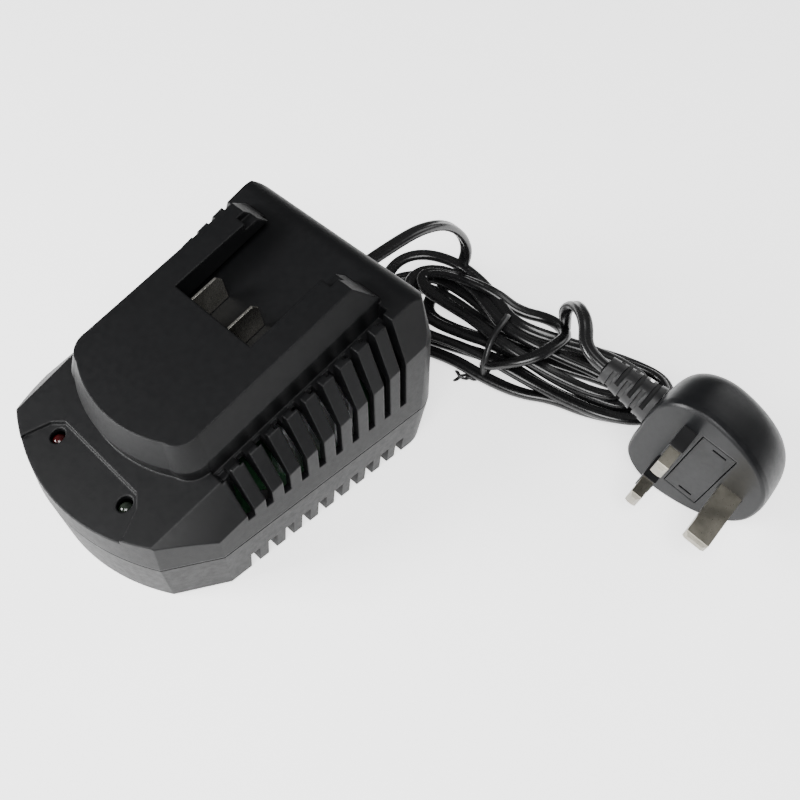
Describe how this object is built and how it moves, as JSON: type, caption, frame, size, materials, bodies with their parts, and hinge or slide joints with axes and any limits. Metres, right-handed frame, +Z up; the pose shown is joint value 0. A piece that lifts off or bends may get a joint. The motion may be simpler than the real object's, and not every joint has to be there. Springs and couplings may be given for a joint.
{
  "type": "power tool battery charger",
  "caption": "Slide-pack battery charger with sloped docking rails, vented flanks, indicator lamps and a bundled flat cord ending in a moulded three-pin mains plug.",
  "frame": {"origin": "centre of the housing's base, on the surface its feet stand on", "axes": "+X to the right seen from the indicator end, +Y toward the cord end, +Z up"},
  "size_m": [0.2002, 0.1973, 0.0712],
  "materials": {
    "shell_upper": "fine-textured matte",
    "shell_lower": "fine-textured matte",
    "board": "satin laminate",
    "ferrite": "ground ferrite",
    "winding_tape": "glossy tape",
    "sink": "extruded",
    "capacitor_sleeve": "glossy",
    "fuse_glass": "clear",
    "screw_steel": "zinc plated",
    "lamp_red": "tinted clear, unlit",
    "lamp_clear": "faintly tinted clear, unlit",
    "terminal_plastic": "satin",
    "blade_metal": "bright plating",
    "lead_sheath": "satin",
    "foot_rubber": "matte",
    "grommet_rubber": "satin",
    "cord_sheath": "glossy flat sheath",
    "tie_plastic": "satin strip",
    "plug_plastic": "satin",
    "boot_rubber": "satin",
    "pin_metal": "nickel plated, slightly dull",
    "sleeve_plastic": "satin",
    "carrier_plastic": "satin",
    "fuse_ceramic": "glazed body"
  },
  "bodies": {
    "charger": {"upper_shell": "shell_upper", "lower_shell": "shell_lower", "circuit_board": "board", "indicator_board": "board", "transformer_core": "ferrite", "transformer_winding": "winding_tape", "heat_sink": "sink", "bulk_capacitor": "capacitor_sleeve", "small_capacitors": "capacitor_sleeve", "board_fuse": "fuse_glass", "board_screws": "screw_steel", "charge_indicator": "lamp_red", "ready_indicator": "lamp_clear", "terminal_block": "terminal_plastic", "positive_blade": "blade_metal", "negative_blade": "blade_metal", "inner_leads": "lead_sheath", "case_screws": "screw_steel", "rubber_feet": "foot_rubber", "cord_grommet": "grommet_rubber", "cord_lead": "cord_sheath", "cord_hank": "cord_sheath", "cord_tail": "cord_sheath", "cord_tie": "tie_plastic", "plug_body": "plug_plastic", "plug_strain_relief": "boot_rubber", "live_pin": "pin_metal", "neutral_pin": "pin_metal", "earth_pin": "pin_metal", "pin_sleeves": "sleeve_plastic"},
    "fuse_drawer": {"fuse_carrier": "carrier_plastic", "plug_fuse": "fuse_ceramic"}
  },
  "joints": [
    {"name": "fuse_pull", "type": "slide", "parent": "charger", "child": "fuse_drawer", "axis": [0.0996, -0.9935, -0.0545], "range_m": [0, 0.014]}
  ]
}
